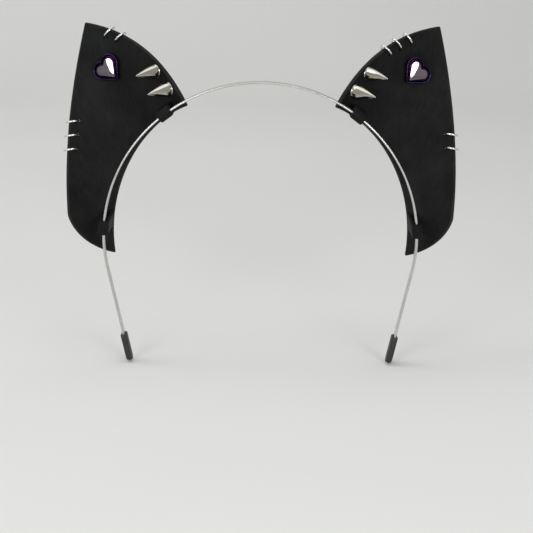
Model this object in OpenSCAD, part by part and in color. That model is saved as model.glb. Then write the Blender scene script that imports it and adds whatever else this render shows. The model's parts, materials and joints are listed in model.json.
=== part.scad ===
// Headband with two cat ears.
// A sprung steel band carries two cupped leather ears, which slide along its arc in leather
// keepers. Each ear has wire rings through its edges, two cone spikes and a heart-shaped stone.
// Millimetres, +Z up, and the wearer faces -Y. The origin is under the top of the band, where it
// rests on the head. The ears are described on the left, at -X, and the right one is its mirror.

/* [Band] */
// Radius of the band's inner face over the head
band_r = 80; // [76:1:84]
// Thickness of the steel strip
band_t = 1; // [0.8:0.1:1.2]
// Width of the steel strip, front to back
band_w = 5; // [4:0.5:6]
// Angle from the top to the end of the arc, on each side
arc_end = 102; // [101:1:108]
// Length of the straight leg below the arc
leg_l = 48; // [36:1:60]

/* [End caps] */
// Length of the soft cap on each leg
cap_l = 15; // [12:1:20]
// Thickness of the cap's wall
cap_wall = 1.1; // [0.8:0.1:1.6]
// How far the leg plugs into its cap
cap_grip = 12; // [8:1:14]

/* [Ears] */
// Thickness of the leather
ear_t = 2.2; // [1.6:0.1:2.6]
// Radius of the ear's hollow
cup_r = 56; // [52:1:64]
// Tilt of the ear outward from upright
ear_tilt = 17; // [14:1:20]
// Lean of the ear backward
ear_lean = 8; // [6:1:12]
// Turn of the ear outward
ear_yaw = 8; // [5:1:12]
// Radius of the ear's outer edge
outer_r = 275; // [250:5:320]
// Radius of the ear's inner edge
inner_r = 80; // [76:1:90]
// Radius of the heel, where the outer edge turns in to the base
heel_r = 30; // [26:1:34]
// Hem of leather below the band's inner face
hem = 2.5; // [2.4:0.1:4]

/* [Keepers] */
// Angle from the top of the band to the keeper at the ear's inner corner
inner_keeper = 37; // [36:1:42]
// Angle from the top of the band to the keeper at the ear's heel
outer_keeper = 86; // [80:1:88]
// Width of each keeper along the band
keeper_w = 7; // [5:0.5:9]
// Gap between the band and its keeper
keeper_gap = 0.2; // [0.15:0.05:0.3]

/* [Rings] */
// Outer diameter of each wire ring
ring_d = 7.8; // [7.6:0.1:8]
// Diameter of the wire
wire_d = 1; // [0.8:0.05:1]
// How far the ring stands out past the leather's edge
ring_proud = 2.1; // [2:0.1:2.3]
// Diameter of the hole for each ring
ring_hole_d = 2.2; // [2:0.1:2.4]
// Distance from the tip to the first ring on the inner edge of the left ear
left_top_start = 14; // [10:1:20]
// Distance from the tip to the first ring on the inner edge of the right ear
right_top_start = 19; // [16:1:24]
// Distance between rings on an inner edge
top_pitch = 6.8; // [5:0.1:9]
// Distance from the tip to the first ring on the outer edge of the left ear
left_side_start = 51.5; // [45:0.5:60]
// Distance from the tip to the first ring on the outer edge of the right ear
right_side_start = 56; // [45:0.5:60]
// Distance between rings on an outer edge
side_pitch = 7.2; // [5:0.1:9]
// Lean of a ring, so that its hole is nearer the tip than where it passes the edge
ring_lean = 15; // [0:1:20]
// The same lean for the rings on the inner edge of the left ear
left_top_lean = 28; // [0:1:28]

/* [Spikes] */
// Diameter of the spike's foot
spike_d = 7.2; // [6:0.1:7.4]
// Length of the spike
spike_l = 14; // [9:0.5:16]
// Diameter of the spike's screw
screw_d = 3; // [2.5:0.1:3.5]
// Diameter of the screw's head
screw_head_d = 7; // [6:0.5:8]
// Thickness of the screw's head
screw_head_t = 1.2; // [0.8:0.1:1.6]

/* [Heart stone] */
// Size of the square at the heart's core
heart_side = 7.8; // [6.6:0.1:8]
// Thickness of the setting's rim round the stone
rim_t = 1; // [0.8:0.1:1.4]
// Height of the setting's rim above the leather
rim_h = 3; // [2.4:0.1:4]
// Turn of the heart in the ear's own plane
heart_turn = 29; // [0:1:45]
// Diameter of the post through the leather
post_d = 2.4; // [2:0.1:3]
// Diameter of the cap that closes the post behind
rivet_d = 7; // [5:0.5:9]

/* [Hidden] */
SIDES = ["left", "right"];
TOP_RINGS = [2, 3];
SIDE_RINGS = [3, 2];
$fn = 96;
fit = 0.05;            // radial gap between parts that plug together
push = 0.5;            // how far a cut runs past the surface that it opens

// Middle of the ear's hollow, from the middle of the band's arc
ear_at = [-67, 23.5, 35];
// In the ear's own plane, u runs inward to the nose side and v runs up to the tip
tip = [-3, 76];
inner_corner = [40, 23];
heel = [-38, -17];
spike_at = [[28.3, 41.2], [33.3, 30.6]];
heart_at = [2.6, 49.4];

arc_mid = [0, 0, -band_r];
base_r = band_r - hem;
keeper_t = 2;          // thickness of the leather folded round the strip
keeper_in = band_r - keeper_gap - keeper_t;
keeper_out = band_r + band_t + keeper_gap + keeper_t;
leg_step = 0.02;       // the leg is this much slimmer all round than the arc
ring_r = (ring_d - wire_d) / 2;
ring_in = ring_d / 2 - ring_proud;

// Centre of the circle of radius r that runs from p to q, with its middle on the right of p to q
function arc_centre(p, q, r) =
    let (m = (p + q) / 2, d = q - p, h = sqrt(r * r - (d * d) / 4))
    m + h * [d[1], -d[0]] / norm(d);
outer_centre = arc_centre(heel, tip, outer_r);
inner_centre = arc_centre(tip, inner_corner, inner_r);

// Depth of the leather's middle surface, and its lean to the side, across the hollow
function cup_y(u) = sqrt(cup_r * cup_r - u * u) - cup_r;
function cup_angle(u) = asin(u / cup_r);
function on_cup(p) = [p[0], cup_y(p[0]), p[1]];
function cup_normal(u) = [-sin(cup_angle(u)), -cos(cup_angle(u)), 0];

// Angle of the point a distance s down an edge from the tip
function tip_angle(c) = atan2(tip[1] - c[1], tip[0] - c[0]);
function edge_angle(c, r, s) = tip_angle(c) + s / r * 180 / PI;
function edge_point(c, r, a) = c + r * [cos(a), sin(a)];
// The edge's own direction on the leather, and the direction from the edge into the leather
function edge_run(c, r, a) =
    let (u = edge_point(c, r, a)[0], t = [-sin(a), cos(a)])
    [t[0], -t[0] * tan(cup_angle(u)), t[1]] / norm([t[0], -t[0] * tan(cup_angle(u)), t[1]]);
function edge_inward(c, r, a) =
    let (u = edge_point(c, r, a)[0], m = cross(edge_run(c, r, a), cup_normal(u)),
         back = [c[0], 0, c[1]] - on_cup(edge_point(c, r, a)))
    (m * back > 0 ? 1 : -1) * m;

module aim(v) {
    rotate([0, acos(v[2] / norm(v)), atan2(v[1], v[0])]) children();
}

module on_side(side) {
    mirror([side == "right" ? 1 : 0, 0, 0]) children();
}

module ear_frame() {
    translate(arc_mid + ear_at)
        rotate([0, -ear_tilt, 0]) rotate([-ear_lean, 0, 0]) rotate([0, 0, -ear_yaw])
            children();
}

// Puts its children on the leather's middle surface at p, with +Z out of the hollow's front
module on_leather(p) {
    translate(on_cup(p)) rotate([0, 0, -cup_angle(p[0])]) rotate([90, 0, 0]) children();
}

// A sector of a profile, drawn as radius and distance to the front, round the band's arc
module round_arc(from, to) {
    translate(arc_mid)
        rotate([0, -90 - from, 0]) rotate([90, 0, 0]) rotate_extrude(angle = to - from) children();
}

// The wearer's head, up to radius r
module head_cut(r) {
    translate(arc_mid) rotate([90, 0, 0]) cylinder(r = r, h = 4 * band_r, center = true);
}

// ---- Band ----

// The strip's section: x is the radius and y runs front to back, with half-round edges
module strip_section(grow = 0) {
    t = band_t + 2 * grow;
    w = band_w + 2 * grow;
    translate([band_r - grow, -w / 2 + t / 2]) square([t, w - t]);
    for (e = [-1, 1]) translate([band_r + band_t / 2, e * (w - t) / 2]) circle(d = t);
}

// The strip's section run down the leg, from one distance below the arc to another
module down_leg(side, from, to) {
    on_side(side) translate(arc_mid) rotate([0, -90 - arc_end, 0]) rotate([90, 0, 0])
        translate([0, to, 0]) rotate([90, 0, 0]) linear_extrude(to - from) children();
}

module band() {
    color("silver") {
        round_arc(-arc_end, arc_end) strip_section();
        for (side = SIDES) down_leg(side, -push, leg_l) strip_section(-leg_step);
    }
}

// A soft cap with a round end, and a pocket that the leg plugs into
module end_cap(side) {
    foot = leg_l - cap_grip;
    end_r = band_w / 2 + cap_wall + fit;
    color("#202020") difference() {
        intersection() {
            down_leg(side, foot, foot + cap_l) strip_section(cap_wall + fit);
            on_side(side) translate(arc_mid) rotate([0, -90 - arc_end, 0]) rotate([90, 0, 0])
                rotate([0, 90, 0]) linear_extrude(2 * band_r) {
                    translate([0, foot + cap_l - end_r]) circle(end_r);
                    translate([-end_r, foot]) square([2 * end_r, cap_l - end_r]);
                }
        }
        down_leg(side, foot - push, leg_l) strip_section(fit);
    }
}

// ---- Ears ----

// The ear's outline, looking square into its hollow
module ear_outline() {
    intersection() {
        translate(outer_centre) circle(outer_r);
        translate(inner_centre) circle(inner_r);
        union() {
            translate(heel + [heel_r, 0]) circle(heel_r);
            translate([-cup_r, heel[1]]) square([2 * cup_r, 2 * cup_r]);
        }
    }
}

// The cylinder that the ear's hollow follows, at radius r
module hollow(r) {
    translate([0, -cup_r, -2 * cup_r]) cylinder(r = r, h = 4 * cup_r);
}

// A keeper's section: a fold of leather over, round and under the strip
module keeper_section() {
    front = band_w / 2 + keeper_gap + keeper_t;
    fold_r = 1.5;
    difference() {
        union() {
            translate([keeper_in, -cup_r])
                square([keeper_out - keeper_in, cup_r + front - fold_r]);
            translate([keeper_in + fold_r, 0])
                square([keeper_out - keeper_in - 2 * fold_r, front]);
            for (r = [keeper_in + fold_r, keeper_out - fold_r])
                translate([r, front - fold_r]) circle(fold_r);
        }
        strip_section(keeper_gap);
        translate([band_r - keeper_gap, -cup_r - push])
            square([band_t + 2 * keeper_gap, cup_r + push]);
    }
}

// Each keeper runs back from the strip into the leather of the ear
module keeper(angle) {
    half = keeper_w / (band_r + band_t / 2) * 90 / PI;
    intersection() {
        round_arc(angle - half, angle + half) keeper_section();
        ear_frame() hollow(cup_r);
    }
}

// A ring's axis and its way in to its hole, leant towards the tip; toward is 1 where the angle
// grows towards the tip and -1 where it falls
function ring_axis(c, r, a, lean, toward) =
    edge_run(c, r, a) * cos(lean) - toward * edge_inward(c, r, a) * sin(lean);
function ring_inward(c, r, a, lean, toward) =
    edge_inward(c, r, a) * cos(lean) + toward * edge_run(c, r, a) * sin(lean);
function ring_centre(c, r, a) = on_cup(edge_point(c, r, a)) + ring_in * edge_inward(c, r, a);

function top_lean(side) = side == "left" ? left_top_lean : ring_lean;
function top_start(side) = side == "left" ? left_top_start : right_top_start;
function side_start(side) = side == "left" ? left_side_start : right_side_start;
function top_angle(side, i) =
    edge_angle(inner_centre, inner_r, -(top_start(side) + (i - 1) * top_pitch));
function side_angle(side, i) =
    edge_angle(outer_centre, outer_r, side_start(side) + (i - 1) * side_pitch);

module ring_bore(c, r, a, lean, toward) {
    p = ring_centre(c, r, a) + ring_r * ring_inward(c, r, a, lean, toward);
    translate(p) aim(cup_normal(p[0])) cylinder(d = ring_hole_d, h = 3 * ear_t, center = true);
}

module ear(side) {
    at = side == "left" ? 0 : 1;
    color("#232525") on_side(side) difference() {
        union() {
            difference() {
                ear_frame() intersection() {
                    difference() {
                        hollow(cup_r + ear_t / 2);
                        hollow(cup_r - ear_t / 2);
                    }
                    translate([0, ear_t, 0]) rotate([90, 0, 0])
                        linear_extrude(cup_r) ear_outline();
                }
                head_cut(base_r);
            }
            for (angle = [inner_keeper, outer_keeper]) keeper(angle);
        }
        ear_frame() {
            for (i = [1:TOP_RINGS[at]])
                ring_bore(inner_centre, inner_r, top_angle(side, i), top_lean(side), 1);
            for (i = [1:SIDE_RINGS[at]])
                ring_bore(outer_centre, outer_r, side_angle(side, i), ring_lean, -1);
            for (p = spike_at) on_leather(p)
                cylinder(d = screw_d + 4 * fit, h = 3 * ear_t, center = true);
            on_leather(heart_at) cylinder(d = post_d + 4 * fit, h = 3 * ear_t, center = true);
        }
    }
}

// ---- Rings ----

// A ring of wire with a fine split, which lies behind the leather
module wire_ring(side, c, r, a, lean, toward) {
    split = 0.2;
    color("gainsboro") on_side(side) ear_frame()
        translate(ring_centre(c, r, a)) aim(ring_axis(c, r, a, lean, toward)) difference() {
            rotate_extrude() translate([ring_r, 0]) circle(d = wire_d, $fn = 32);
            translate([0, -split / 2, -wire_d]) cube([ring_d, split, 2 * wire_d]);
        }
}

module top_ring(side, i) {
    wire_ring(side, inner_centre, inner_r, top_angle(side, i), top_lean(side), 1);
}

module side_ring(side, i) {
    wire_ring(side, outer_centre, outer_r, side_angle(side, i), ring_lean, -1);
}

// ---- Spikes ----

// Rise of a flat foot of radius r that rests on its rim in the hollow
function foot_rise(r) =
    let (face = cup_r - ear_t / 2) ear_t / 2 + face - sqrt(face * face - r * r);

module spike(side, p) {
    foot_r = spike_d / 2;
    collar = 0.9;
    tip_r = 0.35;
    bore_l = 6;
    color("white") on_side(side) ear_frame() on_leather(p)
        translate([0, 0, foot_rise(foot_r)]) difference() {
            rotate_extrude() {
                polygon([
                    [0, 0], [foot_r - 0.3, 0], [foot_r, 0.3], [foot_r, collar],
                    [foot_r - 0.4, collar + 0.4], [tip_r, spike_l - tip_r], [0, spike_l - tip_r]
                ]);
                intersection() {
                    translate([0, spike_l - tip_r]) circle(tip_r);
                    translate([0, spike_l - tip_r]) square(tip_r);
                }
            }
            translate([0, 0, -push]) cylinder(d = screw_d + 2 * fit, h = bore_l + push);
        }
}

module spike_screw(side, p) {
    shank = foot_rise(spike_d / 2) + 5;
    slot_w = 1;
    slot_t = 0.6;
    color("silver") on_side(side) ear_frame() on_leather(p) {
        translate([0, 0, -ear_t / 2]) cylinder(d = screw_d, h = shank + ear_t / 2);
        translate([0, 0, -ear_t / 2 - screw_head_t]) difference() {
            cylinder(d1 = screw_head_d - 1, d2 = screw_head_d, h = screw_head_t);
            translate([-screw_head_d / 2, -slot_w / 2, -push])
                cube([screw_head_d, slot_w, slot_t + push]);
        }
    }
}

// ---- Heart stone in its setting ----

heart_low = 0.9;       // thickness of the setting's plate under the stone
heart_rise = foot_rise(heart_side + rim_t);

// A heart with its point down, grown all round by g
module heart(g = 0) {
    s = heart_side;
    point_r = 0.9;
    rotate(45) translate([-0.58 * s, -0.58 * s]) {
        translate([point_r, -g]) square([s - point_r, s + g]);
        translate([-g, point_r]) square([s + g, s - point_r]);
        translate([point_r, point_r]) circle(point_r + g);
        translate([s / 2, s]) circle(s / 2 + g);
        translate([s, s / 2]) circle(s / 2 + g);
    }
}

module heart_frame(side) {
    on_side(side) ear_frame() on_leather(heart_at) rotate(heart_turn)
        translate([0, 0, heart_rise]) children();
}

module heart_setting(side) {
    color("#3a2352") heart_frame(side) {
        difference() {
            linear_extrude(rim_h) heart(fit + rim_t);
            translate([0, 0, heart_low]) linear_extrude(rim_h) heart(fit);
        }
        translate([0, 0, -heart_rise - ear_t / 2 - 0.9])
            cylinder(d = post_d, h = heart_rise + ear_t / 2 + 0.9 + heart_low / 2);
    }
}

// The stone stands a little proud of its rim, and a cone bevels it up to a flat table
module heart_stone(side) {
    proud = 0.4;
    bevel = 1.4;
    table_r = 0.62 * heart_side;
    color("#5b2a86") heart_frame(side) intersection() {
        translate([0, 0, heart_low]) linear_extrude(rim_h + proud - heart_low) heart();
        union() {
            cylinder(r = 2 * heart_side, h = rim_h + proud - bevel);
            translate([0, 0, rim_h + proud - bevel - push])
                cylinder(r1 = table_r + (bevel + push) * 1.6, r2 = table_r, h = bevel + push);
        }
    }
}

module rivet_cap(side) {
    cap_h = 1.6;
    r = rivet_d / 2;
    color("#3a2352") on_side(side) ear_frame() on_leather(heart_at)
        translate([0, 0, -ear_t / 2]) rotate([180, 0, 0]) difference() {
            intersection() {
                cylinder(r = r, h = cap_h);
                translate([0, 0, cap_h - 2 * r]) sphere(2 * r);
            }
            translate([0, 0, -push]) cylinder(d = post_d + 2 * fit, h = 0.9 + push);
        }
}

band();
end_cap("left");  // end_cap_left
end_cap("right");  // end_cap_right
ear("left");  // ear_left
ear("right");  // ear_right
top_ring("left", 1);  // ring_left_top_1
top_ring("left", 2);  // ring_left_top_2
side_ring("left", 1);  // ring_left_side_1
side_ring("left", 2);  // ring_left_side_2
side_ring("left", 3);  // ring_left_side_3
top_ring("right", 1);  // ring_right_top_1
top_ring("right", 2);  // ring_right_top_2
top_ring("right", 3);  // ring_right_top_3
side_ring("right", 1);  // ring_right_side_1
side_ring("right", 2);  // ring_right_side_2
spike("left", spike_at[0]);  // spike_left_upper
spike_screw("left", spike_at[0]);  // spike_screw_left_upper
spike("left", spike_at[1]);  // spike_left_lower
spike_screw("left", spike_at[1]);  // spike_screw_left_lower
spike("right", spike_at[0]);  // spike_right_upper
spike_screw("right", spike_at[0]);  // spike_screw_right_upper
spike("right", spike_at[1]);  // spike_right_lower
spike_screw("right", spike_at[1]);  // spike_screw_right_lower
heart_setting("left");  // heart_setting_left
heart_stone("left");  // heart_stone_left
rivet_cap("left");  // rivet_cap_left
heart_setting("right");  // heart_setting_right
heart_stone("right");  // heart_stone_right
rivet_cap("right");  // rivet_cap_right
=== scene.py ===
"""Looks for the cat-ear headband: leather ears, wire rings, spikes, heart stones and the band.

Lengths here are millimetres, in the CAD's frame; new_piece() turns them into metres.
The ears are worked out on the left (-X), and the right ones are their mirror.
"""
import json
from math import asin, atan2, cos, degrees, exp, hypot, pi, radians, sin, sqrt, tau

import bmesh
import bpy
from mathutils import Matrix, Vector, noise
from mathutils.geometry import delaunay_2d_cdt


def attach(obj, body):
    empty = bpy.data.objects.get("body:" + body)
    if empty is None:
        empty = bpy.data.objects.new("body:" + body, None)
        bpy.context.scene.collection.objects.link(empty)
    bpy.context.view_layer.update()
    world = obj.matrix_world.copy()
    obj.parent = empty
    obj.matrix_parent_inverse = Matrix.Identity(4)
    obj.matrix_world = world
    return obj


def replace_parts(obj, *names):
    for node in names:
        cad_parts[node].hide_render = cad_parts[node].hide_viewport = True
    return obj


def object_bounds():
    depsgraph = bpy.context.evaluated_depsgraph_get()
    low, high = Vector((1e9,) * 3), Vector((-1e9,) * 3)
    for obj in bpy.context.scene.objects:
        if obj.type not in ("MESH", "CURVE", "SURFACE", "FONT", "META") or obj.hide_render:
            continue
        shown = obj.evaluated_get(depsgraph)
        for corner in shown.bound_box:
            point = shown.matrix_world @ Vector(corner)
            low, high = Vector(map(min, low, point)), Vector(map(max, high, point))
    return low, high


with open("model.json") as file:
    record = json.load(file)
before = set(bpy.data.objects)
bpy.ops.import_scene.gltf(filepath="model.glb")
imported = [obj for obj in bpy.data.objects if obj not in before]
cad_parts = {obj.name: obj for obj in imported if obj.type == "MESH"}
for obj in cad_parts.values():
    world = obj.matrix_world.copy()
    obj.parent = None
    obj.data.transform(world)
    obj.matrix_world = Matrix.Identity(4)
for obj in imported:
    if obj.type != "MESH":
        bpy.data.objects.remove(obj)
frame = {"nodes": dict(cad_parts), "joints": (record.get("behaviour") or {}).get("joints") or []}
cad_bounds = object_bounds()
joints = {j["name"]: j for j in frame["joints"]}

MM = 0.001
SIDES = ("left", "right")

# ---- Sizes, as in the CAD ----
BAND_R = -joints["ear_left_slide"]["pos_m"][2] / MM  # inner face of the band's arc
BAND_T = 1.0
BAND_W = 5.0
ARC_END = radians(102)
LEG_L = 48.0
CAP_L = 15.0
CAP_GRIP = 12.0
CAP_WALL = 1.1
ARC_MID = Vector((0, 0, -BAND_R))

EAR_T = 2.2
CUP_R = 56.0
EAR_AT = Vector((-67, 23.5, 35)) + ARC_MID
EAR_TURN = (
    Matrix.Rotation(radians(-17), 3, "Y")
    @ Matrix.Rotation(radians(-8), 3, "X")
    @ Matrix.Rotation(radians(-8), 3, "Z")
)
OUTER_R = 275.0
INNER_R = 80.0
HEEL_R = 30.0
BASE_R = BAND_R - 2.5
TIP = (-3.0, 76.0)
INNER_CORNER = (40.0, 23.0)
HEEL = (-38.0, -17.0)
SPIKES_AT = {"upper": (28.3, 41.2), "lower": (33.3, 30.6)}
HEART_AT = (2.6, 49.4)

KEEPER_AT = (radians(37), radians(86))
KEEPER_W = 7.0
KEEPER_T = 2.0
KEEPER_GAP = 0.2

RING_D = 7.8
WIRE_D = 1.0
RING_R = (RING_D - WIRE_D) / 2
HOLE_R = 0.6  # less than the CAD's bore, because the leather closes round the wire
RING_SPLIT = 0.2  # gap where a ring's ends meet

EDGE_R = 0.75  # rounding of the leather's cut edge
BORE_EDGE_R = 0.3  # rounding of a punched hole's edge
EDGE_STEPS = 5
HOLE_POINTS = 20
HOLE_MARGIN = 0.9  # no loose mesh points nearer than this to a hole
LEATHER_PITCH = 0.8

SPIKE_D = 7.2
SPIKE_L = 14.0
HEART_SIDE = 7.8
HEART_TURN = radians(29)
RIM_T = 1.0
TABLE_R = 60.0  # radius of the dome of the stone's table
TABLE_HALF = 5.0  # about half the table's width


# ---- Meshes ----

def new_piece(name, verts, faces, body, mats, side="left", face_mats=None, uvs=None,
              sharp=radians(40)):
    """Makes a smooth-shaded mesh, mirrors it for the right side, and rides it on its body."""
    flip = -1 if side == "right" else 1
    mesh = bpy.data.meshes.new(name)
    mesh.from_pydata([(v[0] * MM * flip, v[1] * MM, v[2] * MM) for v in verts], [], faces)
    for mat in mats:
        mesh.materials.append(mat)
    if face_mats:
        for poly, index in zip(mesh.polygons, face_mats):
            poly.material_index = index
    if uvs:
        layer = mesh.uv_layers.new(name="UVMap")
        for loop in mesh.loops:
            layer.data[loop.index].uv = uvs[loop.vertex_index]
    bm = bmesh.new()
    bm.from_mesh(mesh)
    bmesh.ops.remove_doubles(bm, verts=bm.verts, dist=0.002 * MM)
    bmesh.ops.recalc_face_normals(bm, faces=bm.faces)
    for face in bm.faces:
        face.smooth = True
    for edge in bm.edges:
        edge.smooth = len(edge.link_faces) == 2 and edge.calc_face_angle(0) < sharp
    bm.to_mesh(mesh)
    bm.free()
    piece = bpy.data.objects.new(name, mesh)
    bpy.context.scene.collection.objects.link(piece)
    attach(piece, body)
    return piece


def skin(rings):
    """Joins a list of equal rings of points into one closed skin."""
    cols = len(rings[0])
    verts = [p for ring in rings for p in ring]
    faces = []
    for i in range(len(rings) - 1):
        for j in range(cols):
            here, after = i * cols, (i + 1) * cols
            k = (j + 1) % cols
            faces.append((here + j, here + k, after + k, after + j))
    faces.append(tuple(range(cols))[::-1])
    faces.append(tuple(range(len(verts) - cols, len(verts))))
    return verts, faces


def lathe(profile, to_world, steps=64):
    """Turns a profile of (radius, height) round its own Z axis."""
    rings = []
    for r, z in profile:
        ring = []
        for k in range(steps):
            a = tau * k / steps
            ring.append(to_world @ Vector((r * cos(a), r * sin(a), z)))
        rings.append(ring)
    return skin(rings)


def arc(cx, cy, r, start, end, steps):
    """Points along an arc, angles in degrees."""
    return [
        (cx + r * cos(radians(start + (end - start) * k / steps)),
         cy + r * sin(radians(start + (end - start) * k / steps)))
        for k in range(steps + 1)
    ]


# ---- The ear's leather surface ----

def arc_centre(p, q, r):
    """Centre of the circle of radius r from p to q that bulges to their left."""
    p, q = Vector(p), Vector(q)
    d = q - p
    h = sqrt(r * r - d.length_squared / 4)
    return (p + q) / 2 + h * Vector((d.y, -d.x)) / d.length


OUTER_MID = arc_centre(HEEL, TIP, OUTER_R)
INNER_MID = arc_centre(TIP, INNER_CORNER, INNER_R)


def along(u):
    """Distance along the leather, across the hollow, to the point seen at u."""
    return CUP_R * asin(u / CUP_R)


def on_ear(s, v, h=0.0):
    """The point s along the leather, v up it and h in front of its middle surface."""
    a, r = s / CUP_R, CUP_R - h
    return EAR_TURN @ Vector((r * sin(a), r * cos(a) - CUP_R, v)) + EAR_AT


def off_arc(p):
    """How far a point lies outside the base's circle, seen from the front."""
    return hypot(p.x, p.z + BAND_R) - BASE_R


def fitting_frame(at, rise=0.0, turn=0.0):
    """Places a fitting on the leather at (u, v), with its +Z out of the hollow."""
    u, v = at
    a = asin(u / CUP_R)
    turn3 = EAR_TURN @ Matrix.Rotation(-a, 3, "Z") @ Matrix.Rotation(pi / 2, 3, "X")
    turn3 = turn3 @ Matrix.Rotation(turn, 3, "Z")
    spot = on_ear(along(u), v)
    return Matrix.Translation(spot + turn3 @ Vector((0, 0, rise))) @ turn3.to_4x4()


def foot_rise(r):
    """Height of a flat foot of radius r that rests on its rim in the hollow."""
    face = CUP_R - EAR_T / 2
    return EAR_T / 2 + face - sqrt(face * face - r * r)


def straight_back(angle, r):
    """Follows the line straight back from a point round the band's arc to the middle of the
    leather. Gives the distance, and the point in the ear's own frame."""
    inverse = EAR_TURN.transposed()
    start = ARC_MID + r * Vector((-sin(angle), 0, cos(angle))) - EAR_AT
    o, d = inverse @ start, inverse @ Vector((0, 1, 0))
    a, b = d.x ** 2 + d.y ** 2, o.x * d.x + (o.y + CUP_R) * d.y
    c = o.x ** 2 + (o.y + CUP_R) ** 2 - CUP_R ** 2
    distance = (sqrt(b * b - a * c) - b) / a
    return distance, o + d * distance


def base_point(angle):
    """Where the base's edge lies on the leather, as (s, v), at an angle round the arc."""
    _, p = straight_back(angle, BASE_R)
    return CUP_R * atan2(p.x, p.y + CUP_R), p.z


def walk(point_at, start, end, steps=400):
    """Points along a curve until it dips under the base's circle."""
    points = []
    for k in range(steps + 1):
        u, v = point_at(start + (end - start) * k / steps)
        s = along(max(-CUP_R, min(CUP_R, u)))
        if off_arc(on_ear(s, v)) < 0:
            break
        points.append((s, v))
    return points


def circle_at(mid, r):
    """The circle as a function from angle to point."""
    return lambda a: (mid[0] + r * cos(a), mid[1] + r * sin(a))


def angle_from(mid, p):
    """Angle of a point seen from a circle's middle."""
    return atan2(p[1] - mid[1], p[0] - mid[0])


def front_angle(p):
    """Angle round the band's arc, from its top, of a point on the leather."""
    w = on_ear(*p)
    return atan2(-w.x, w.z + BAND_R)


def resample(points, pitch):
    """Even points along a closed loop."""
    loop = points + points[:1]
    lengths = [0.0]
    for p, q in zip(loop, loop[1:]):
        lengths.append(lengths[-1] + hypot(q[0] - p[0], q[1] - p[1]))
    count = round(lengths[-1] / pitch)
    even, i = [], 0
    for k in range(count):
        want = lengths[-1] * k / count
        while lengths[i + 1] < want:
            i += 1
        t = (want - lengths[i]) / (lengths[i + 1] - lengths[i])
        even.append((loop[i][0] + t * (loop[i + 1][0] - loop[i][0]),
                     loop[i][1] + t * (loop[i + 1][1] - loop[i][1])))
    return even


def relax(points, times):
    """Softens the corners of a closed loop."""
    for _ in range(times):
        n = len(points)
        points = [
            ((points[i - 1][0] + 2 * points[i][0] + points[(i + 1) % n][0]) / 4,
             (points[i - 1][1] + 2 * points[i][1] + points[(i + 1) % n][1]) / 4)
            for i in range(n)
        ]
    return points


def ear_outline(pitch):
    """The leather's edge as a closed loop on its own surface, clockwise from the tip."""
    past_corner = 0.5  # the inner edge is followed this far on, to where it meets the base
    top = walk(circle_at(INNER_MID, INNER_R), angle_from(INNER_MID, TIP),
               angle_from(INNER_MID, INNER_CORNER) - past_corner)
    side = walk(circle_at(OUTER_MID, OUTER_R), angle_from(OUTER_MID, TIP),
                angle_from(OUTER_MID, HEEL))
    heel_mid = (HEEL[0] + HEEL_R, HEEL[1])
    side += walk(circle_at(heel_mid, HEEL_R), pi, 1.5 * pi)[1:]
    start, end = front_angle(top[-1]), front_angle(side[-1])
    steps = 200
    base = [base_point(start + (end - start) * k / steps) for k in range(1, steps)]
    return relax(resample(top + base + side[::-1][:-1], pitch), 1)


def inward(points):
    """Unit directions into a clockwise loop."""
    n = len(points)
    result = []
    for i in range(n):
        d = Vector(points[(i + 1) % n]) - Vector(points[i - 1])
        d.normalize()
        result.append(Vector((d.y, -d.x)))
    return result


def inside(point, loop):
    """Whether a point lies within a closed loop."""
    x, y = point
    hit = False
    for (x1, y1), (x2, y2) in zip(loop, loop[1:] + loop[:1]):
        if (y1 > y) != (y2 > y) and x < (x2 - x1) * (y - y1) / (y2 - y1) + x1:
            hit = not hit
    return hit


def ring_holes(side):
    """Where each ring of this side goes through the leather, as (s, v), and where it leaves
    the edge, read from the rings' joints."""
    inverse = EAR_TURN.transposed()
    middle_v = 20  # height of the ear's middle, which every hole is on the near side of
    spots = []
    for name, joint in joints.items():
        if not name.startswith("ring_" + side):
            continue
        flip = Vector((-1 if side == "right" else 1, 1, 1))
        mid = inverse @ (Vector(joint["pos_m"]) / MM * flip - EAR_AT)
        axis = inverse @ (Vector(joint["axis"]) * flip)
        s, v = CUP_R * atan2(mid.x, mid.y + CUP_R), mid.z
        front = Vector((-sin(s / CUP_R), -cos(s / CUP_R), 0))
        across = axis.cross(front).normalized()
        step = Vector((across.x * cos(s / CUP_R) - across.y * sin(s / CUP_R), across.z))
        towards = Vector((-s, middle_v - v))
        if step.dot(towards) < 0:
            step = -step
        spots.append((Vector((s, v)) + RING_R * step, Vector((s, v)) - RING_R * step))
    return spots


def press(point, holes):
    """How far the fittings press the leather's front down at a point."""
    p = Vector(point)
    groove, groove_w = 0.22, 0.75  # under the wire
    dimple, dimple_w = 0.12, 1.6  # round the hole
    depth = 0.0
    for hole, rim in holes:
        d = rim - hole
        t = max(0.0, min(1.0, (p - hole).dot(d) / d.length_squared))
        depth += groove * exp(-((p - hole - t * d).length / groove_w) ** 2)
        depth += dimple * exp(-((p - hole).length / dimple_w) ** 2)
    return depth


def wave(point, side):
    """The leather's slow, hand-formed unevenness."""
    seed = 7.0 if side == "left" else 31.0
    p = Vector((point[0] / 26, point[1] / 34, seed))
    return 0.35 * noise.noise(p) + 0.12 * noise.noise(p * 2.7)


def ear_loops(holes):
    """The ear's outline, then its holes, each as (points, ways into the leather, rounding)."""
    outline = ear_outline(LEATHER_PITCH)
    loops = [(outline, inward(outline), EDGE_R)]
    for hole, _ in holes:
        turns = [-tau * k / HOLE_POINTS for k in range(HOLE_POINTS)]
        ring = [(hole.x + HOLE_R * cos(a), hole.y + HOLE_R * sin(a)) for a in turns]
        loops.append((ring, [-d for d in inward(ring)], BORE_EDGE_R))
    return loops


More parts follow.
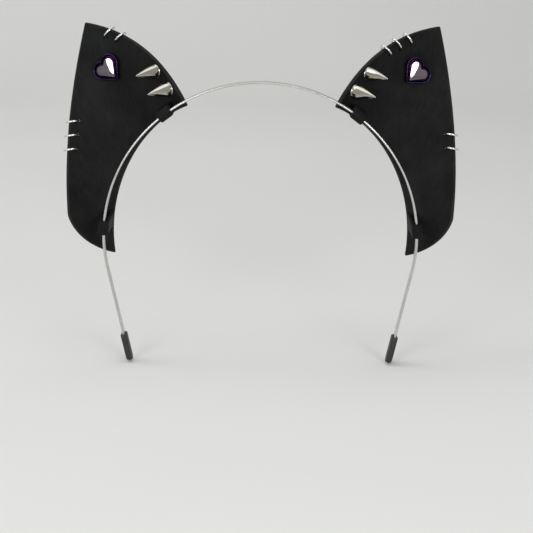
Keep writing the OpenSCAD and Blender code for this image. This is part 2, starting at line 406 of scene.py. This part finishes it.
def inset_loops(loops):
    """Where the flat of the leather meets each rounded edge, as points and closed edges."""
    points, edges = [], []
    for ring, ways, r in loops:
        first = len(points)
        points += [Vector(p) + r * w for p, w in zip(ring, ways)]
        edges += [(first + k, first + (k + 1) % len(ring)) for k in range(len(ring))]
    return points, edges


def fill_points(outline, bound, hole_mids):
    """A triangular grid of points inside the bound, clear of its rim and of the holes."""
    pitch = LEATHER_PITCH * 1.5
    row_height = pitch * 0.87
    rim_gap = LEATHER_PITCH * 0.8
    rim = [Vector(p) for p in bound]
    s0, s1 = min(p[0] for p in outline), max(p[0] for p in outline)
    v0, v1 = min(p[1] for p in outline), max(p[1] for p in outline)
    filled, row, v = [], 0, v0
    while v < v1:
        s = s0 + (row % 2) * pitch / 2
        while s < s1:
            p = Vector((s, v))
            if (inside(p, bound)
                    and min((p - q).length for q in hole_mids) > HOLE_R + HOLE_MARGIN
                    and min((p - q).length_squared for q in rim) > rim_gap ** 2):
                filled.append(p)
            s += pitch
        v += row_height
        row += 1
    return filled


def leather_sheet(loops, hole_mids):
    """Triangles over the flat of the leather, and which point each loop's point became."""
    flat, edges = inset_loops(loops)
    outline = loops[0][0]
    bound = [tuple(p) for p in flat[:len(outline)]]
    flat += fill_points(outline, bound, hole_mids)
    points, _, tris, origin, _, _ = delaunay_2d_cdt(flat, edges, [], 0, 1e-5)
    keep = []
    for tri in tris:
        mid = sum((points[i] for i in tri), Vector((0, 0))) / 3
        clear = all((mid - q).length > HOLE_R + BORE_EDGE_R * 0.9 for q in hole_mids)
        if clear and inside(mid, bound):
            keep.append(tuple(tri))
    where = {old: new for new, olds in enumerate(origin) for old in olds}
    return points, keep, where


def edge_profile(r):
    """A rounded edge from the front face to the back, as (inset, height)."""
    half = EAR_T / 2
    angles = [pi / 2 * k / EDGE_STEPS for k in range(EDGE_STEPS + 1)]
    front = [(r * (1 - sin(a)), half - r * (1 - cos(a))) for a in angles[1:]]
    back = [(r * (1 - cos(a)), r * (1 - sin(a)) - half) for a in angles[:-1]]
    return front + back


def ear_mesh(side):
    """One leather ear: front and back faces, a burnished round edge with a painted highlight in
    its lighter colour, and punched ring holes.
    """
    holes = ring_holes(side)
    loops = ear_loops(holes)
    points, tris, where = leather_sheet(loops, [hole for hole, _ in holes])
    verts, faces, face_mats, uvs = [], [], [], []

    def add(p, h):
        lift = wave(p, side)
        if h > 0:
            lift -= press(p, holes)
        verts.append(on_ear(p[0], p[1], h + lift))
        uvs.append((p[0] / 100 + 0.5, p[1] / 100 + 0.5))

    for h in (EAR_T / 2, -EAR_T / 2):
        for p in points:
            add(p, h)
    back = len(points)
    for tri in tris:
        faces += [tri, tuple(back + i for i in reversed(tri))]
        face_mats += [0, 0]
    first = 0
    for index, (ring, ways, r) in enumerate(loops):
        n = len(ring)
        front_row = [where[first + k] for k in range(n)]
        rows = [front_row]
        for inset, h in edge_profile(r):
            here = len(verts)
            for p, w in zip(ring, ways):
                add(Vector(p) + inset * w, h)
            rows.append(list(range(here, here + n)))
        rows.append([back + i for i in front_row])
        for upper, lower in zip(rows, rows[1:]):
            for k in range(n):
                j = (k + 1) % n
                faces.append((upper[k], upper[j], lower[j], lower[k]))
                # The outline's rounded edge takes the lighter edge material, whose lighter colour
                # is a painted highlight; the hole bores keep the plain leather.
                face_mats.append(1 if index == 0 else 0)
        first += n
    return verts, faces, face_mats, uvs


# ---- Keepers ----

def keeper_mesh(angle):
    """A strap of the ear's leather folded over, round and back under the band."""
    t = KEEPER_T
    flare = 1.6  # how much wider each half of the strap is where it leaves the ear
    corner = 0.55
    top = BAND_R + BAND_T + KEEPER_GAP + t / 2
    low = BAND_R - KEEPER_GAP - t / 2
    turn_r = (top - low) / 2
    front = -(BAND_W / 2 + KEEPER_GAP + t / 2) + turn_r
    deep_top, _ = straight_back(angle, top)
    deep_low, _ = straight_back(angle, low)
    path = [(top, deep_top + (front - deep_top) * k / 8) for k in range(8)]
    path += [(top - turn_r + turn_r * cos(a), front - turn_r * sin(a))
             for a in [pi * k / 14 for k in range(15)]]
    path += [(low, front + (deep_low - front) * k / 8) for k in range(1, 9)]
    rings = []
    for i, (r, y) in enumerate(path):
        r0, y0 = path[max(i - 1, 0)]
        r1, y1 = path[min(i + 1, len(path) - 1)]
        d = Vector((r1 - r0, y1 - y0)).normalized()
        out = Vector((-d.y, d.x))
        root = min(i, len(path) - 1 - i)
        half_w = KEEPER_W / 2 + flare * max(0.0, 1 - root / 4) ** 2
        ring = []
        for cx, cy, start in ((half_w - corner, t / 2 - corner, 0),
                              (-half_w + corner, t / 2 - corner, 90),
                              (-half_w + corner, -t / 2 + corner, 180),
                              (half_w - corner, -t / 2 + corner, 270)):
            ring += arc(cx, cy, corner, start, start + 90, 3)
        points = []
        for w, n in ring:
            a = angle + w / (BAND_R + BAND_T / 2)
            rr, yy = r + out.x * n, y + out.y * n
            points.append(ARC_MID + Vector((-rr * sin(a), yy, rr * cos(a))))
        rings.append(points)
    return skin(rings)


# ---- Band and caps ----

def stadium(width, thick, steps=6):
    """A strip's section with half-round edges, as (across, out)."""
    r = thick / 2
    flat = width / 2 - r
    return arc(flat, 0, r, -90, 90, steps) + arc(-flat, 0, r, 90, 270, steps)


def band_spot(distance):
    """Centre of the strip and its way out, at a distance from the top along it."""
    mid_r = BAND_R + BAND_T / 2
    arc_l = mid_r * ARC_END
    sign = -1 if distance < 0 else 1
    angle = min(abs(distance), arc_l) / mid_r
    past = max(0.0, abs(distance) - arc_l)
    out = Vector((-sign * sin(angle), 0, cos(angle)))
    run = Vector((-sign * cos(angle), 0, -sin(angle)))
    return ARC_MID + mid_r * out + past * run, out


def strip_ring(distance, width, thick, steps=6):
    """The strip's section, placed at a distance along the band."""
    spot, out = band_spot(distance)
    return [spot + Vector((0, x, 0)) + out * z for x, z in stadium(width, thick, steps)]


def band_mesh():
    """The steel strip from the end of one leg to the end of the other."""
    reach = (BAND_R + BAND_T / 2) * ARC_END + LEG_L
    count = 260
    return skin([strip_ring(reach * (2 * k / count - 1), BAND_W, BAND_T)
                 for k in range(count + 1)])


def cap_mesh():
    """A dipped soft cap: a thin lip, a slight swell and a round end."""
    fit, lip = 0.05, 0.55  # the cap's looseness, and the lip's thickness as a part of the wall
    swell_l = 0.5
    round_from = 1.1  # angle on the end's round where it starts to thin
    foot = (BAND_R + BAND_T / 2) * ARC_END + LEG_L - CAP_GRIP
    wall = CAP_WALL + fit
    end_r = BAND_W / 2 + wall
    rings = [(foot + 1.2, fit, fit), (foot, fit, fit), (foot - 0.02, wall * lip, wall * lip)]
    for k in range(1, 5):
        a = pi / 2 * k / 4
        thick = wall * (lip + (1 - lip) * sin(a))
        rings.append((foot + swell_l * (1 - cos(a)), thick, thick))
    straight = CAP_L - end_r
    for k in range(1, 7):
        rings.append((foot + swell_l + (straight - swell_l) * k / 6, wall, wall))
    for k in range(1, 13):
        a = pi / 2 * k / 12
        half_w = end_r * cos(a)
        rounded = max(0.0, a - round_from) / (pi / 2 - round_from)
        thin = wall - rounded * (wall + BAND_T / 2 - 0.25)
        rings.append((foot + straight + end_r * sin(a), half_w - BAND_W / 2, thin))
    result = []
    for distance, grow_w, grow_t in rings:
        thick = BAND_T + 2 * grow_t
        width = max(BAND_W + 2 * grow_w, thick * 1.02)
        result.append(strip_ring(distance, width, thick, 8))
    return skin(result)


# ---- Rings ----

def wire_ring_mesh(joint):
    """A jump ring of round wire with a fine split."""
    mid = Vector(joint["pos_m"]) / MM
    axis = Vector(joint["axis"]).normalized()
    back = Vector((0, 1, 0))
    start = (back - back.dot(axis) * axis).normalized()
    side = axis.cross(start)
    turn = radians(20)
    gap = RING_SPLIT / 2 / RING_R
    count, bevel = 96, 0.02
    end_size = 0.82  # size of the wire's cut ends
    rings = []
    sweep = tau - 2 * (gap + bevel)
    stops = [gap] + [gap + bevel + sweep * k / count for k in range(count + 1)] + [tau - gap]
    for k, a in enumerate(stops):
        out = cos(a + turn) * start + sin(a + turn) * side
        r = WIRE_D / 2 * (end_size if k in (0, len(stops) - 1) else 1)
        rings.append([mid + out * (RING_R + r * cos(b)) + axis * r * sin(b)
                      for b in [tau * j / 20 for j in range(20)]])
    return skin(rings)


# ---- Spikes, heart stones and rivet caps ----

def spike_profile():
    """A turned cone: a rounded foot, a fine groove, a full shoulder and a blunt tip."""
    r = SPIKE_D / 2
    foot = [(0.0, 0.0), (r - 0.3, 0.0)] + arc(r - 0.3, 0.3, 0.3, -60, 60, 5)
    groove = [(r - 0.22, 0.72), (r - 0.22, 0.86)]
    shoulder = arc(r - 0.5, 1.5, 0.5, -70, 20, 6)
    cone = []
    start_r, start_z = shoulder[-1]
    steps, tip_r = 28, 0.3
    top = SPIKE_L - tip_r
    for k in range(1, steps + 1):
        t = k / steps
        full = 0.28 * sin(pi * t ** 0.8)
        cone.append((start_r * (1 - t) + tip_r * t + full, start_z + (top - start_z) * t))
    return foot + groove + shoulder + cone + arc(0.0, top, tip_r, 25, 75, 4) + [(0.0, SPIKE_L)]


def heart_outline(grow):
    """A heart with its point down, grown or shrunk all round; equal counts at every size."""
    s, point_r, lobe_steps = HEART_SIDE, 0.9, 20
    lobe = s / 2 + grow
    loop = arc(point_r, point_r, max(point_r + grow, 0.25), 180, 270, 6)
    if grow > 0:
        t = (3 * s + sqrt(8 * lobe * lobe - s * s)) / 4
        last = degrees(atan2(t - s / 2, t - s))
        loop += arc(s, s / 2, lobe, -90, last, lobe_steps)
        loop += [(t, t)] * 5
        loop += arc(s / 2, s, lobe, 90 - last, 180, lobe_steps)
    else:
        loop += arc(s, s / 2, lobe, -90, 90, lobe_steps)
        loop += arc(s, s, -grow, 270, 180, 6)[1:-1]
        loop += arc(s / 2, s, lobe, 0, 180, lobe_steps)
    turn = Matrix.Rotation(radians(45), 2)
    return [turn @ (Vector(p) - Vector((0.58 * s, 0.58 * s))) for p in loop]


def heart_skin(levels, to_world):
    """Skins a stack of (grow, height) heart outlines."""
    return skin([[to_world @ Vector((p.x, p.y, z)) for p in heart_outline(g)]
                 for g, z in levels])


def rim_levels():
    """The setting: a wall rolled over the stone's edge."""
    t = RIM_T
    levels = [(-2.0, 0.0), (t - 0.1, 0.0), (t, 0.15), (t, 1.9)]
    levels += [(t - 0.55 + 0.55 * cos(a), 1.9 + 0.75 * sin(a))
               for a in [pi / 2 * k / 6 for k in range(1, 7)]]
    levels += [(t - 0.8, 2.55), (t - 1.02, 2.2), (-0.1, 1.6), (-2.0, 1.2)]
    return levels


def stone_levels():
    """The stone up to its table: a girdle and two bevels, the upper one the flatter."""
    return [(-1.0, 0.95), (-0.03, 1.2), (-0.03, 2.05), (-0.75, 2.75), (-1.5, 3.1), (-1.6, 3.12)]


def stone_mesh(to_world):
    """The faceted sides, then a table with a very shallow dome."""
    rings = [[Vector((p.x, p.y, z)) for p in heart_outline(g)] for g, z in stone_levels()]
    edge = rings[-1]
    for k in range(1, 8):
        size = 1 - k / 8
        rings.append([Vector((p.x * size, p.y * size, p.z)) for p in edge])
    for ring in rings[len(stone_levels()) - 1:]:
        for p in ring:
            p.z += (TABLE_HALF ** 2 - p.x ** 2 - p.y ** 2) / TABLE_R / 2
    verts, faces = skin([[to_world @ p for p in ring] for ring in rings])
    cols = len(edge)
    sides = (len(stone_levels()) - 1) * cols
    face_mats = [0 if k < sides else 1 for k in range(len(faces) - 2)] + [0, 1]
    return verts, faces, face_mats


def rivet_profile():
    """A low dome with a rolled rim, as (radius, height)."""
    return [(0.0, 0.0), (3.3, 0.0), (3.5, 0.25), (3.45, 0.6), (2.9, 1.1), (1.9, 1.42), (0.9, 1.56),
            (0.0, 1.6)]


# ---- Materials ----

class Nodes:
    """A small helper that adds and links shader nodes."""

    def __init__(self, name):
        self.mat = bpy.data.materials.new(name)
        self.mat.use_nodes = True
        self.tree = self.mat.node_tree
        self.shader = self.tree.nodes["Principled BSDF"]
        self.space = self.add("ShaderNodeTexCoord")

    def add(self, kind, **values):
        node = self.tree.nodes.new(kind)
        for key, value in values.items():
            if key in node.inputs:
                node.inputs[key].default_value = value
            else:
                setattr(node, key, value)
        return node

    def link(self, source, target):
        self.tree.links.new(source, target)

    def set(self, **values):
        for key, value in values.items():
            self.shader.inputs[key.replace("_", " ")].default_value = value

    def scaled(self, source, scale):
        node = self.add("ShaderNodeMapping")
        node.inputs["Scale"].default_value = scale
        self.link(source, node.inputs["Vector"])
        return node.outputs["Vector"]

    def noise(self, vector, scale, detail=3.0, rough=0.5):
        node = self.add("ShaderNodeTexNoise", Scale=scale, Detail=detail, Roughness=rough)
        self.link(vector, node.inputs["Vector"])
        return node.outputs["Fac"]

    def ramp(self, fac, stops):
        node = self.add("ShaderNodeValToRGB")
        ramp = node.color_ramp
        while len(ramp.elements) < len(stops):
            ramp.elements.new(0.5)
        for element, (pos, colour) in zip(ramp.elements, stops):
            element.position = pos
            element.color = (*colour, 1) if isinstance(colour, tuple) else (colour,) * 3 + (1,)
        self.link(fac, node.inputs["Fac"])
        return node.outputs["Color"]

    def bump(self, height, strength, distance, after=None):
        node = self.add("ShaderNodeBump", Strength=strength, Distance=distance)
        self.link(height, node.inputs["Height"])
        if after is not None:
            self.link(after, node.inputs["Normal"])
        return node.outputs["Normal"]


def leather_material(name, dark, light, rough=(0.58, 0.74), grain=0.35):
    """Dyed leather: a slow mottle with streaks of nap, over a fine pebbled grain."""
    m = Nodes(name)
    obj, uv = m.space.outputs["Object"], m.space.outputs["UV"]
    mottle = m.noise(obj, 55, 4, 0.6)
    nap = m.noise(m.scaled(uv, (90, 7, 1)), 1.6, 4, 0.6)
    mix = m.add("ShaderNodeMath", operation="MULTIPLY_ADD")
    mix.inputs[1].default_value = 0.55
    m.link(mottle, mix.inputs[0])
    half = m.add("ShaderNodeMath", operation="MULTIPLY")
    half.inputs[1].default_value = 0.45
    m.link(nap, half.inputs[0])
    m.link(half.outputs[0], mix.inputs[2])
    m.link(m.ramp(mix.outputs[0], ((0.36, dark), (0.66, light))), m.shader.inputs["Base Color"])
    m.link(m.ramp(mix.outputs[0], ((0.35, rough[1]), (0.7, rough[0]))),
           m.shader.inputs["Roughness"])
    cells = m.add("ShaderNodeTexVoronoi", Scale=1400.0, feature="SMOOTH_F1")
    m.link(obj, cells.inputs["Vector"])
    fine = m.noise(obj, 2600, 2, 0.5)
    first = m.bump(cells.outputs["Distance"], grain, 0.00012)
    m.link(m.bump(fine, grain * 0.6, 0.00006, first), m.shader.inputs["Normal"])
    m.set(Specular_IOR_Level=0.13)
    return m.mat


def metal_material(name, colour, rough, streak=None):
    """Polished or brushed metal, with faint handling marks."""
    m = Nodes(name)
    obj = m.space.outputs["Object"]
    marks = m.noise(obj, 260, 4, 0.6)
    m.link(m.ramp(marks, ((0.3, rough * 0.8), (0.75, rough * 1.5))), m.shader.inputs["Roughness"])
    darker = tuple(c * 0.86 for c in colour)
    m.link(m.ramp(m.noise(obj, 90, 3), ((0.3, darker), (0.7, colour))),
           m.shader.inputs["Base Color"])
    if streak:
        lines = m.noise(m.scaled(obj, streak), 1.0, 3, 0.6)
        m.link(m.bump(lines, 0.1, 0.00002), m.shader.inputs["Normal"])
    m.set(Metallic=1.0)
    return m.mat


def violet_metal_material():
    """Dark lacquered metal with a slight fleck."""
    m = Nodes("violet_metal")
    fleck = m.noise(m.space.outputs["Object"], 500, 3, 0.6)
    m.link(m.ramp(fleck, ((0.3, (0.005, 0.002, 0.016)), (0.7, (0.014, 0.005, 0.045)))),
           m.shader.inputs["Base Color"])
    m.set(Metallic=0.85, Roughness=0.14, Coat_Weight=0.2, Coat_Roughness=0.04,
          Coat_Tint=(0.55, 0.4, 0.9, 1))
    return m.mat


def glass_material(name, low, high, rough, metallic):
    """Foil-backed glass: it mirrors like tinted metal under a clear face."""
    m = Nodes(name)
    depth = m.noise(m.space.outputs["Object"], 160, 2, 0.5)
    m.link(m.ramp(depth, ((0.3, low), (0.7, high))), m.shader.inputs["Base Color"])
    m.set(Metallic=metallic, Roughness=rough)
    return m.mat


def rubber_material():
    """Soft dipped rubber."""
    m = Nodes("cap_rubber")
    obj = m.space.outputs["Object"]
    m.link(m.ramp(m.noise(obj, 200, 3), ((0.3, 0.012), (0.7, 0.02))),
           m.shader.inputs["Base Color"])
    m.link(m.bump(m.noise(obj, 1500, 2), 0.2, 0.00005), m.shader.inputs["Normal"])
    m.set(Roughness=0.5)
    return m.mat


def paper_material():
    """The studio's pale sweep."""
    m = Nodes("studio_paper")
    obj = m.space.outputs["Object"]
    m.link(m.ramp(m.noise(obj, 3, 2), ((0.3, (0.74, 0.745, 0.73)), (0.7, (0.76, 0.765, 0.75)))),
           m.shader.inputs["Base Color"])
    m.set(Roughness=0.9, Specular_IOR_Level=0.1)
    return m.mat


LEATHER = leather_material("black_leather", (0.0030, 0.0031, 0.0034), (0.0088, 0.0092, 0.0094))
# The cut edge's base colour is lighter than the face as a painted highlight along the edge; its
# lower roughness is the burnish.
EDGE_WITH_PAINTED_HIGHLIGHT = leather_material("leather_edge_painted_highlight", 0.008, 0.018, rough=(0.42, 0.6), grain=0.15)
CHROME = metal_material("polished_chrome", (0.56, 0.535, 0.475), 0.13)
WIRE = metal_material("ring_steel", (0.82, 0.82, 0.79), 0.16)
BRUSHED = metal_material("brushed_steel", (0.62, 0.62, 0.60), 0.26, (60, 9000, 60))
SCREW = metal_material("screw_steel", (0.55, 0.55, 0.54), 0.28, (3000, 3000, 3000))
VIOLET = violet_metal_material()
STONE = glass_material("violet_glass", (0.014, 0.004, 0.022), (0.045, 0.010, 0.060), 0.08, 0.9)
TABLE = glass_material("glass_table", (0.27, 0.23, 0.27), (0.33, 0.29, 0.32), 0.03, 1.0)
RUBBER = rubber_material()


# ---- Pieces ----

def build_band():
    """The strip and its two end caps."""
    verts, faces = band_mesh()
    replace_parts(new_piece("steel_band", verts, faces, "band", [BRUSHED]), "band")
    for side in SIDES:
        verts, faces = cap_mesh()
        cap = new_piece("soft_cap_" + side, verts, faces, "band", [RUBBER], side)
        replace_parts(cap, "end_cap_" + side)


def build_ear(side):
    """The leather of one ear, with its two keepers."""
    verts, faces, face_mats, uvs = ear_mesh(side)
    ear = new_piece("leather_ear_" + side, verts, faces, "ear_" + side,
                    [LEATHER, EDGE_WITH_PAINTED_HIGHLIGHT], side, face_mats, uvs)
    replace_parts(ear, "ear_" + side)
    for place, angle in zip(("inner", "outer"), KEEPER_AT):
        verts, faces = keeper_mesh(angle)
        new_piece(f"keeper_{side}_{place}", verts, faces, "ear_" + side,
                  [LEATHER], side)


def build_fittings(side):
    """One ear's spikes, screws, heart stone, setting and rivet cap."""
    body = "ear_" + side
    for place, at in SPIKES_AT.items():
        verts, faces = lathe(spike_profile(), fitting_frame(at, foot_rise(SPIKE_D / 2)), 72)
        spike = new_piece(f"cone_spike_{side}_{place}", verts, faces, body,
                          [CHROME], side)
        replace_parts(spike, f"spike_{side}_{place}")
        screw = frame["nodes"][f"spike_screw_{side}_{place}"]
        screw.data.materials.clear()
        screw.data.materials.append(SCREW)
    heart = fitting_frame(HEART_AT, foot_rise(HEART_SIDE + RIM_T), HEART_TURN)
    verts, faces = heart_skin(rim_levels(), heart)
    rim = new_piece("heart_rim_" + side, verts, faces, body, [VIOLET], side)
    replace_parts(rim, "heart_setting_" + side)
    verts, faces, face_mats = stone_mesh(heart)
    stone = new_piece("heart_gem_" + side, verts, faces, body, [STONE, TABLE],
                      side, face_mats, sharp=radians(14))
    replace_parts(stone, "heart_stone_" + side)
    behind = fitting_frame(HEART_AT, -EAR_T / 2) @ Matrix.Rotation(pi, 4, "X")
    verts, faces = lathe(rivet_profile(), behind, 48)
    cap = new_piece("rivet_dome_" + side, verts, faces, body, [VIOLET], side)
    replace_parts(cap, "rivet_cap_" + side)


def build_rings():
    """A wire ring at each ring's joint."""
    for name, joint in joints.items():
        if joint["child"].startswith("ring_"):
            verts, faces = wire_ring_mesh(joint)
            node = joint["child"]
            ring = new_piece("wire_" + node, verts, faces, node, [WIRE])
            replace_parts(ring, node)


# ---- Studio ----

def build_stage():
    """A pale sweep of paper that the band's caps stand on."""
    floor = cad_bounds[0][2] / MM - 0.3
    front, back, curve_r, top, half_w = -2500, 900, 700, 3200, 3000
    profile = [(front, floor), (back, floor)]
    profile += [(back + curve_r * sin(a), floor + curve_r * (1 - cos(a)))
                for a in [pi / 2 * k / 24 for k in range(1, 25)]]
    profile += [(back + curve_r, floor + top)]
    verts = [(x * MM, y * MM, z * MM) for y, z in profile for x in (-half_w, half_w)]
    faces = [(2 * k, 2 * k + 1, 2 * k + 3, 2 * k + 2) for k in range(len(profile) - 1)]
    mesh = bpy.data.meshes.new("sweep")
    mesh.from_pydata(verts, [], faces)
    mesh.materials.append(paper_material())
    for poly in mesh.polygons:
        poly.use_smooth = True
    sweep = bpy.data.objects.new("sweep", mesh)
    bpy.context.scene.collection.objects.link(sweep)


def area_light(name, at, aim, size, power, shape="SQUARE"):
    """A soft lamp at a place in metres, turned towards aim."""
    light = bpy.data.lights.new(name, "AREA")
    light.energy, light.shape, light.size = power, shape, size
    lamp = bpy.data.objects.new(name, light)
    lamp.location = at
    lamp.rotation_euler = (Vector(aim) - Vector(at)).to_track_quat("-Z", "Y").to_euler()
    bpy.context.scene.collection.objects.link(lamp)


def build_lights():
    """Two round softboxes in front, one lamp above, one on the paper, and an even fill."""
    world = bpy.data.worlds.new("studio")
    bpy.context.scene.world = world
    world.use_nodes = True
    background = world.node_tree.nodes["Background"]
    background.inputs["Color"].default_value = (0.95, 0.955, 0.94, 1)
    background.inputs["Strength"].default_value = 0.46
    aim = (0, 0, -0.03)
    for x in (-0.44, 0.44):
        area_light("softbox", (x, -0.893, 0.2), aim, 0.42, 3.2, shape="DISK")
    area_light("top_light", (0, 0.1, 1.3), aim, 1.2, 5)
    area_light("paper_light", (-1.0, 0.2, 1.2), (0.0, 1.4, 0.2), 1.0, 7)


def build_camera():
    """From the front and a little above, in metres, with the ears across the frame."""
    distance, elevation, roll = 0.650, radians(16), radians(0.65)
    target = Vector((0.0034, 0, -0.0946))
    field = 0.2761  # width of the view at the target
    camera = bpy.data.cameras.new("camera")
    camera.sensor_width = 36
    camera.lens = camera.sensor_width * distance / field
    camera.clip_start, camera.clip_end = 0.01, 20
    lens = bpy.data.objects.new("camera", camera)
    back = Vector((0, -cos(elevation), sin(elevation)))
    right = Vector((1, 0, 0))
    up = back.cross(right)
    turn = Matrix((right, up, back)).transposed().to_4x4()
    lens.matrix_world = (Matrix.Translation(target + back * distance) @ turn
                         @ Matrix.Rotation(roll, 4, "Z"))
    bpy.context.scene.collection.objects.link(lens)
    bpy.context.scene.camera = lens


build_camera()
build_stage()
build_lights()
build_band()
for side in SIDES:
    build_ear(side)
    build_fittings(side)
build_rings()
bpy.context.scene.view_settings.view_transform = "Standard"
